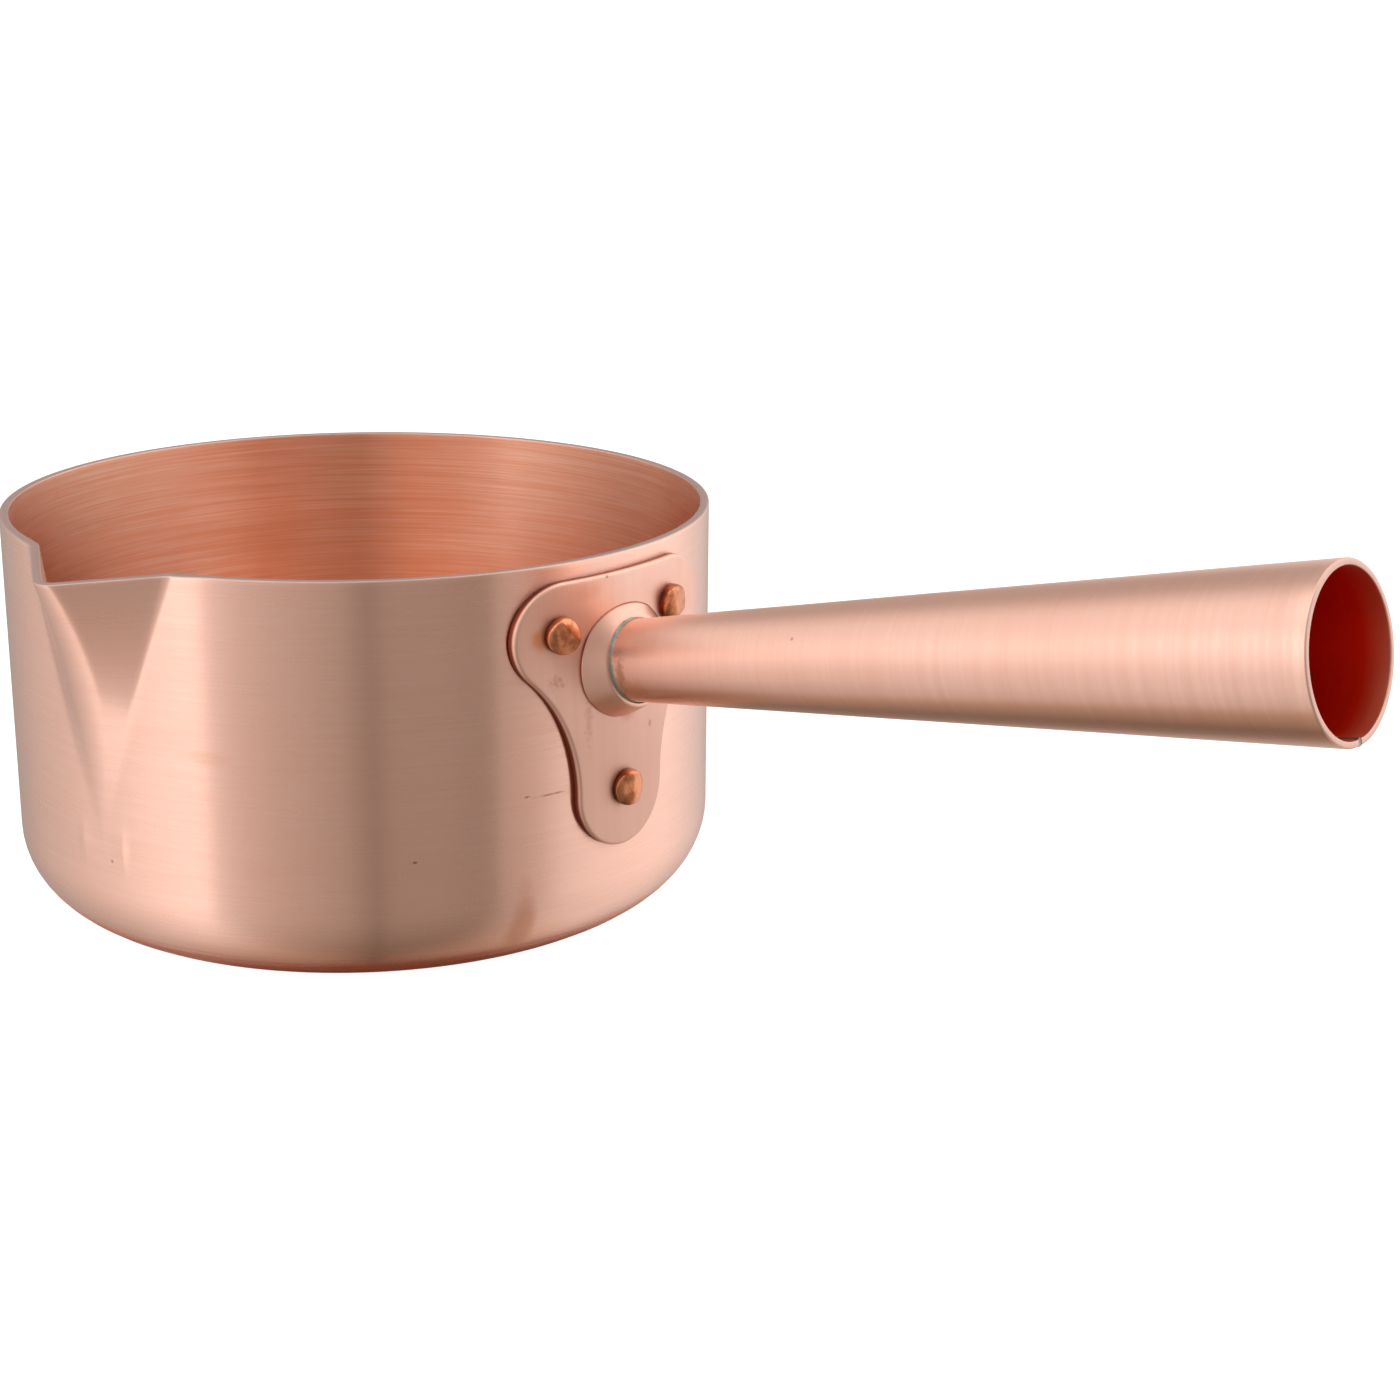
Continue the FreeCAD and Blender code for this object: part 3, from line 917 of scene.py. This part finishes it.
# the bore's deep red is painted reflection, the colour light takes bouncing round inside the copper tube,
# and it darkens the bore as painted shade; towards the open end it turns a lighter orange as painted light
borePaintedReflectionLook = dict(
    panLook,
    color=(0.95, 0.05, 0.008, 1),
    line=(0.85, 0.03, 0.004, 1),
    tarnish=(0.82, 0.06, 0.01, 1),
    rough=0.42,
    anisotropy=0.3,
    bump=0.02,
    edge=1.0,
    grime=(0.88, 0.42, 0.24, 1),
    spots=[],
)
endLook = dict(rimLook, color=(0.80, 0.51, 0.41, 1), line=(0.66, 0.40, 0.31, 1), rough=0.5)
brazeLook = {
    "color": (0.40, 0.37, 0.33, 1),
    "line": (0.16, 0.12, 0.09, 1),
    "tarnish": (0.46, 0.26, 0.16, 1),
    "fine": 0.3,
    "coarse": 0.4,
    "cloud": 0.8,
    "pit": 0.8,
    "pitShare": 0.02,
    "cloudScale": 420.0,
    "pitch": 1500.0,
    "stroke": 800.0,
    "rough": 0.38,
    "roughSpread": 0.12,
    "anisotropy": 0.0,
    "bump": 0.6,
}


def writeTubeMap(piece):
    # U runs along the handle, so that the finish stretches across the brush lines
    layer = piece.data.uv_layers.new(name="alongHandle")
    for loop in piece.data.loops:
        distance, radius, angle = handleParts(piece.data.vertices[loop.vertex_index].co)
        layer.data[loop.index].uv = (distance * handle["mapStretch"], (angle % (2 * pi)) / (2 * pi))


def makeTube():
    slit = handle["slitStart"]
    piece = spinOutline(
        "handleTube", tubeOutline(), handle["root"], handleWay, aroundHandle(slit),
        handle["columns"], 2 * pi - 2 * slit,
    )
    moveVertices(piece, shapeTube)
    writeTubeMap(piece)
    materials = [
        copperMaterial("handleCopper", tubeLook, turned=handle["slope"]),
        copperMaterial("boreCopperPaintedReflection", borePaintedReflectionLook, turned=handle["slope"]),
        copperMaterial("cutEndCopper", endLook),
    ]

    # lighter towards the open end of the bore: painted light where the light reaches in
    def grime(place):
        return exp(-(handle["length"] - handleParts(place)[0]) / handle["paintedLightFade"])

    writeAttribute(piece, "grime", grime)
    sides = []
    for face in piece.data.polygons:
        distance, radius, angle = handleParts(face.center)
        if distance > handle["length"] - handle["lipRound"] * handle["lipShare"]:
            sides.append(2)
        else:
            bored = radius < tubeRadius(distance) - handle["sheet"] * handle["boreShare"]
            sides.append(1 if bored else 0)
    finishPiece(piece, "handle_tube", materials, 35)
    piece.data.polygons.foreach_set("material_index", sides)


def makeSeam():
    length, sheet, slit = handle["length"] - seam["short"], handle["sheet"], handle["slitStart"]
    stops = between(handle["firstRing"], length, seam["rings"])
    outline = [(stop, tubeRadius(stop)) for stop in stops]
    outline += [(stop, tubeRadius(stop) - sheet) for stop in reversed(stops)]
    outline.append(outline[0])
    piece = spinOutline(
        "tubeSeamBraze", outline, handle["root"], handleWay, aroundHandle(-slit),
        seam["columns"], 2 * slit,
    )
    moveVertices(piece, shapeSeam)
    finishPiece(piece, "tube_seam_braze", [copperMaterial("seamBraze", brazeLook)], 60)


makeTube()
makeSeam()


# the collar and the braze round the tube's root

collar = {
    "baseRadius": 0.0129,
    "lift": 0.0006,
    "standOff": 0.0016,
    "endRadius": 0.0097,
    "end": 0.006,
    "bore": 0.0091,
    "edge": 0.0003,
    "columns": 144,
    "undercut": 0.00022,
    "jointHeight": 0.0003,
    "sunk": 0.0012,  # how far the spun ring starts behind its foot
    "rootStep": 0.00012,
    "rootSteps": 10,
    "coneStart": 0.02,
    "coneEnd": 0.94,
    "coneSteps": 18,
    "tipSwell": 0.00002,
    "footDarkReach": 1.4,
    "footDarkHeight": 0.0003,
}
braze = {
    "width": 0.0011,
    "behind": 0.0004,
    "inset": 0.0001,
    "step": 0.00001,
    "shoulder": 0.0003,
    "rings": 8,
    "columns": 144,
    "thickSide": radians(115),
    "outTrim": (0.12, 0.9, 0.35, 0.08),  # always, where thick, where ragged, at least
    "alongTrim": (0.08, 0.85, 0.30, 0.05),
    "grain": 0.00005,
    "outAbove": 0.00005,
    "alongAbove": 0.00002,
}
collarFoot = handle["root"] + handleWay * collar["standOff"]
collarFoot.x = pan["radius"] + collar["standOff"]
collarFoot.z += collar["lift"]
collarEnd = handle["root"] + handleWay * collar["end"]


def abovePlate(place):
    return hypot(place.x - pan["radius"] + plate["bend"], place.y) - plateFace


def leanCollar(place):
    # the spun ring is about the x axis; rings past the foot lean over to stand square to the tube
    along = place.x - collarFoot.x
    share = along / (collarEnd.x - collarFoot.x)
    if share <= 0:
        shaped = place
    else:
        lean = handle["slope"] * share
        center = collarFoot.lerp(collarEnd, share)
        up = place.z - collarFoot.z
        shaped = center + Vector((-up * sin(lean), place.y, up * cos(lean)))
    gap = abs(abovePlate(shaped))
    if gap < collar["jointHeight"]:
        shrink = 1 - collar["undercut"] * (1 - gap / collar["jointHeight"]) / collar["baseRadius"]
        up = shaped.z - collarFoot.z
        shaped = Vector((shaped.x, shaped.y * shrink, collarFoot.z + up * shrink))
    return shaped


collarLook = dict(
    plateLook,
    color=(0.90, 0.53, 0.41, 1),
    fine=0.25,
    rough=0.36,
    grime=(0.30, 0.08, 0.04, 1),
)
collarLook["spots"] = [
    {
        "center": (0.084, -0.0085, 0.0600), "size": (0.004, 0.003, 0.003),
        "ragged": 0.3, "grain": 400.0, "amount": 0.4, "color": (0.62, 0.28, 0.16, 1),
    },
]


def makeCollar():
    foot, tip, bore = collar["baseRadius"], collar["endRadius"], collar["bore"]
    span, edge, sunk = collarEnd.x - collarFoot.x, collar["edge"], collar["sunk"]
    outline = [(-sunk + collar["rootStep"] * step, foot) for step in range(collar["rootSteps"] + 1)]
    for share in between(collar["coneStart"], collar["coneEnd"], collar["coneSteps"]):
        outline.append((span * share, foot + (tip - foot) * share))
    outline += [(span - edge * 0.3, tip + collar["tipSwell"]), (span, tip - edge)]
    outline += [(span, bore), (-sunk, bore)]
    outline.append(outline[0])
    piece = spinOutline("handleCollar", outline, collarFoot, xAxis, zAxis, collar["columns"])
    moveVertices(piece, leanCollar)

    # darker where the collar meets the plate
    def grime(place):
        return clamp(collar["footDarkReach"] - abs(abovePlate(place)) / collar["footDarkHeight"])

    writeAttribute(piece, "grime", grime)
    finishPiece(piece, "handle_collar", [copperMaterial("collarCopper", collarLook)], 40)


def shapeBraze(place):
    # thick on the upper left, thin round the rest, and uneven along its edge
    distance, radius, angle = handleParts(place)
    thick = clamp(0.1 + 0.9 * cos(angle + braze["thickSide"])) ** 0.7
    ragged = noise.noise(Vector((sin(angle) * 5, cos(angle) * 5, 3.1)))
    fine = noise.noise(Vector((sin(angle) * 30, cos(angle) * 30, distance * 900)))
    past = distance - collar["end"]
    tube = tubeRadius(distance)

    def trim(always, whereThick, whereRagged, least):
        return clamp(always + whereThick * thick + whereRagged * ragged, least, 1)

    if radius > tube + braze["outAbove"]:
        radius = tube + (radius - tube) * trim(*braze["outTrim"])
    if past > braze["alongAbove"]:
        past *= trim(*braze["alongTrim"])
        radius += braze["grain"] * fine
    return handlePlace(collar["end"] + past, radius, angle)


def makeBraze():
    end, width, behind = collar["end"], braze["width"], braze["behind"]
    tube = tubeRadius(end)
    shoulder = collar["endRadius"] - braze["shoulder"]
    outline = [(end - behind, tube - braze["inset"]), (end - behind, shoulder)]
    outline.append((end + braze["step"], shoulder))
    for step in range(1, braze["rings"] + 1):
        share = step / braze["rings"]
        outline.append((end + width * share, tube + (shoulder - tube) * (1 - share) ** 2))
    outline.append((end + width, tube - braze["inset"]))
    outline.append(outline[0])
    piece = spinOutline("collarBraze", outline, handle["root"], handleWay, handleUp, braze["columns"])
    moveVertices(piece, shapeBraze)
    material = copperMaterial("collarBrazeMetal", brazeLook)
    finishPiece(piece, "collar_braze", [material], 60)


makeCollar()
makeBraze()


# rivets with hammered heads

rivetHead = {
    "radius": 0.0040,
    "face": 0.0029,
    "height": 0.0026,
    "rim": 0.0009,
    "sunk": 0.0005,
    "shank": 0.0025,
    "innerRadius": 0.0046,
    "innerHeight": 0.0012,
    "columns": 72,
    "faceRings": 5,
    "shoulderSteps": 6,
    "rimRings": (0.6, 0.2, -0.2),
    "foot": 0.98,
    "gap": 0.0003,  # the inner head stays this far into the wall
    "innerSteps": 8,
    "innerFullness": 0.7,
    "flatness": 0.7,
    "dents": [(0.00002, 1100), (0.00006, 520)],  # depth and closeness
    "dentFade": 0.001,
    "untouched": 0.0001,  # deeper than this under the plate's face, nothing is struck
    "footDarkReach": 1.2,
    "footDarkHeight": 0.0014,
}
# each blow is a flat: how far its face leans, which way round, and how far out it stands
blows = {
    "rivet_upper_left": [
        (8, 215, 0.00222), (30, 45, 0.00285), (38, 190, 0.0032),
    ],
    "rivet_upper_right": [
        (12, 10, 0.00240), (32, 200, 0.00285), (38, 290, 0.0032),
    ],
    "rivet_lower": [
        (24, 180, 0.00245), (18, 0, 0.00250),
    ],
}

rivetLook = {
    "color": (0.86, 0.34, 0.17, 1),
    "line": (0.52, 0.15, 0.05, 1),
    "tarnish": (0.28, 0.07, 0.025, 1),
    "fine": 0.25,
    "coarse": 0.35,
    "cloud": 0.7,
    "pit": 0.9,
    "pitShare": 0.015,
    "cloudScale": 260.0,
    "pitch": 1600.0,
    "stroke": 700.0,
    "rough": 0.20,
    "roughSpread": 0.10,
    "anisotropy": 0.0,
    "bump": 0.25,
    "edge": 0.95,
    "grime": (0.16, 0.035, 0.012, 1),
}


def rivetOutline(surface):
    head, inside = rivetHead, pan["radius"] - pan["wall"]
    faceRings, steps = head["faceRings"], head["shoulderSteps"]
    outline = [(surface + head["height"], ring * head["face"] / faceRings) for ring in range(faceRings + 1)]
    for step in range(1, steps + 1):
        angle = radians(step * 90 / steps)
        out = head["face"] + (head["radius"] - head["face"]) * sin(angle)
        along = surface + head["rim"] + (head["height"] - head["rim"]) * cos(angle)
        outline.append((along, out))
    outline += [(surface + head["rim"] * share, head["radius"]) for share in head["rimRings"]]
    outline += [(surface - head["sunk"], head["radius"] * head["foot"])]
    outline += [(surface - head["sunk"], head["shank"]), (inside + head["gap"], head["shank"])]
    outline += [(inside + head["gap"], head["innerRadius"] * head["foot"])]
    for step in range(head["innerSteps"] + 1):
        angle = radians(step * 90 / head["innerSteps"])
        out = head["innerRadius"] * cos(angle) ** head["innerFullness"]
        outline.append((inside - head["innerHeight"] * sin(angle), out))
    return outline


def hammer(piece, name, foot, way, aside, surface):
    def strike(place):
        away = place - foot
        along = away.dot(way) - surface
        if along < -rivetHead["untouched"]:
            return place
        local = Vector((along, away.dot(aside), away.z))
        for lean, turn, reach in blows[name]:
            lean, turn = radians(lean), radians(turn)
            flat = Vector((cos(lean), sin(lean) * cos(turn), sin(lean) * sin(turn)))
            beyond = local.dot(flat) - reach
            if beyond > 0:
                local -= flat * beyond * rivetHead["flatness"]
        dent = sum(depth * noise.noise(local * closeness) for depth, closeness in rivetHead["dents"])
        local += xAxis * dent * clamp(local.x / rivetHead["dentFade"])
        return foot + way * (surface + local.x) + aside * local.y + zAxis * local.z

    moveVertices(piece, strike)


def makeRivet(name, rivet, material):
    angle = asin(rivet["aside"] / (pan["radius"] + plate["thickness"]))
    way = Vector((cos(angle), sin(angle), 0))
    aside = Vector((-way.y, way.x, 0))
    axisX = pan["radius"] - plate["bend"]
    surface = way.x * axisX + sqrt(plateFace ** 2 - (way.y * axisX) ** 2)
    foot = zAxis * rivet["height"]
    words = name.split("_")
    title = words[0] + "".join(word.capitalize() for word in words[1:])
    piece = spinOutline(title, rivetOutline(surface), foot, way, zAxis, rivetHead["columns"])
    hammer(piece, name, foot, way, aside, surface)

    # darker towards the foot of the head, by the plate
    def grime(place):
        above = (place - foot).dot(way) - surface
        return clamp(rivetHead["footDarkReach"] - above / rivetHead["footDarkHeight"])

    writeAttribute(piece, "grime", grime)
    finishPiece(piece, name, [material], 60)


rivetCopper = copperMaterial("rivetCopper", rivetLook)
for name, rivet in rivets.items():
    makeRivet(name, rivet, rivetCopper)


# floor and light

studio = {
    # brightness round the horizon, by compass angle in degrees
    "bands": [
        (-180, 0.58), (-170, 0.68), (-155, 0.76), (-147, 0.84), (-135, 0.93), (-124, 1.05),
        (-112, 1.20), (-101, 1.28), (-94.5, 1.26), (-92, 0.80), (-87, 0.72), (-79, 0.625),
        (-70, 0.56), (-60, 0.50), (-49, 0.43), (-40, 0.30), (-34, 0.385), (-18, 0.38),
        (-1.5, 0.315), (0.5, 0.47), (8, 0.55), (16, 0.67), (25, 0.89), (36, 1.00),
        (57, 1.12), (72, 1.18), (90, 0.94), (108, 0.70), (130, 0.33), (152, 0.38), (180, 0.58),
    ],
    # and its share by height, from straight down to straight up
    "heights": [
        (-90, 0.46), (-66, 0.52), (-54, 0.74), (-46, 0.76), (-36, 0.85), (-20, 0.92), (-12, 0.99),
        (-5, 1.09), (3, 1.22), (10, 1.32), (17, 1.38), (26, 1.33), (36, 1.15), (55, 1.62), (90, 1.80),
    ],
    "brightest": 2.0,  # what a ramp's white stands for
    "warmest": (1.0, 0.95, 0.90, 1),
    "coolest": (1.0, 1.02, 1.06, 1),
    "underside": (1.0, 0.84, 0.70, 1),
    "background": 1.1,
    "floor": 0.30,
    "floorGlow": 0.95,
    "dimmest": 0.25,  # where the warm tint starts to turn cool
    "undersideEdges": (radians(-64), radians(-50)),
    "floorSize": 60,
    "floorHeight": -0.0002,
    "floorRough": 0.9,
    # the disc under the pan that only reflections see: painted shadow
    "footHeight": -0.0001,
    "footCorners": 96,
    "footRadius": 0.0755,
    "shadowDiscColor": (0.48, 0.16, 0.07, 1),
}


def fillRamp(ramp, stops, low, high):
    # all places first, because moving a stop can change their order
    ramp.interpolation = "LINEAR"
    while len(ramp.elements) < len(stops):
        ramp.elements.new(0.5)
    for element, (place, value) in zip(ramp.elements, stops):
        element.position = (place - low) / (high - low)
    for element, (place, value) in zip(ramp.elements, stops):
        share = value / studio["brightest"]
        element.color = (share, share, share, 1)


def makeWorld():
    world = bpy.data.worlds.new("studio")
    world.use_nodes = True
    bpy.context.scene.world = world
    tree = world.node_tree
    background = tree.nodes["Background"]
    direction = addNode(tree, "ShaderNodeTexCoord").outputs["Generated"]
    split = addNode(tree, "ShaderNodeSeparateXYZ")
    feed(tree, split.inputs[0], direction)
    compass = mathNode(tree, "ARCTAN2", split.outputs[1], split.outputs[0])
    height = mathNode(tree, "ARCSINE", split.outputs[2])
    rampBand = addNode(tree, "ShaderNodeValToRGB")
    feed(tree, rampBand.inputs[0], mapRange(tree, compass, -pi, pi, 0, 1, False))
    fillRamp(rampBand.color_ramp, studio["bands"], -180, 180)
    rampHeight = addNode(tree, "ShaderNodeValToRGB")
    feed(tree, rampHeight.inputs[0], mapRange(tree, height, -pi / 2, pi / 2, 0, 1, False))
    fillRamp(rampHeight.color_ramp, studio["heights"], -90, 90)
    light = vectorNode(tree, "MULTIPLY", rampBand.outputs[0], rampHeight.outputs[0])
    light = vectorNode(tree, "MULTIPLY", light, [studio["brightest"] ** 2] * 3)
    bright = mapRange(tree, light, studio["dimmest"], 1.0)
    tint = mixColor(tree, bright, studio["warmest"], studio["coolest"])
    light = vectorNode(tree, "MULTIPLY", light, tint)
    above = mapRange(tree, height, *studio["undersideEdges"])
    tint = mixColor(tree, above, studio["underside"], (1, 1, 1, 1))
    light = vectorNode(tree, "MULTIPLY", light, tint)
    seen = addNode(tree, "ShaderNodeLightPath").outputs["Is Camera Ray"]
    white = studio["background"]
    feed(tree, background.inputs["Color"], mixColor(tree, seen, light, (white, white, white, 1)))


def makeFloor():
    bpy.ops.object.select_all(action="DESELECT")
    bpy.ops.mesh.primitive_plane_add(size=studio["floorSize"], location=(0, 0, studio["floorHeight"]))
    floor = bpy.context.object
    floor.name = "floor"
    material, tree, shader, place = startMaterial("paleFloor")
    pale = studio["floor"]
    shader.inputs["Base Color"].default_value = (pale, pale, pale, 1)
    shader.inputs["Roughness"].default_value = studio["floorRough"]
    shader.inputs["Specular IOR Level"].default_value = 0.0
    shader.inputs["Emission Color"].default_value = (1, 1, 1, 1)
    shader.inputs["Emission Strength"].default_value = studio["floorGlow"]
    floor.data.materials.append(material)
    floor.visible_glossy = False
    # a dark orange-brown disc under the pan, seen only in the copper's reflections: painted shadow for the
    # shade the pan casts on the floor, tinted by light bounced from the copper
    bpy.ops.mesh.primitive_circle_add(
        vertices=studio["footCorners"], radius=studio["footRadius"], fill_type="NGON",
    )
    foot = bpy.context.object
    foot.name = "paintedShadowDisc"
    foot.location.z = studio["footHeight"]
    material, tree, shader, place = startMaterial("footShade")
    shader.inputs["Base Color"].default_value = studio["shadowDiscColor"]
    shader.inputs["Roughness"].default_value = studio["floorRough"]
    foot.data.materials.append(material)
    foot.visible_camera = False
    foot.visible_diffuse = False
    foot.visible_shadow = False


makeWorld()
makeFloor()
bpy.context.scene.view_settings.view_transform = "Standard"
print("floor and light set")
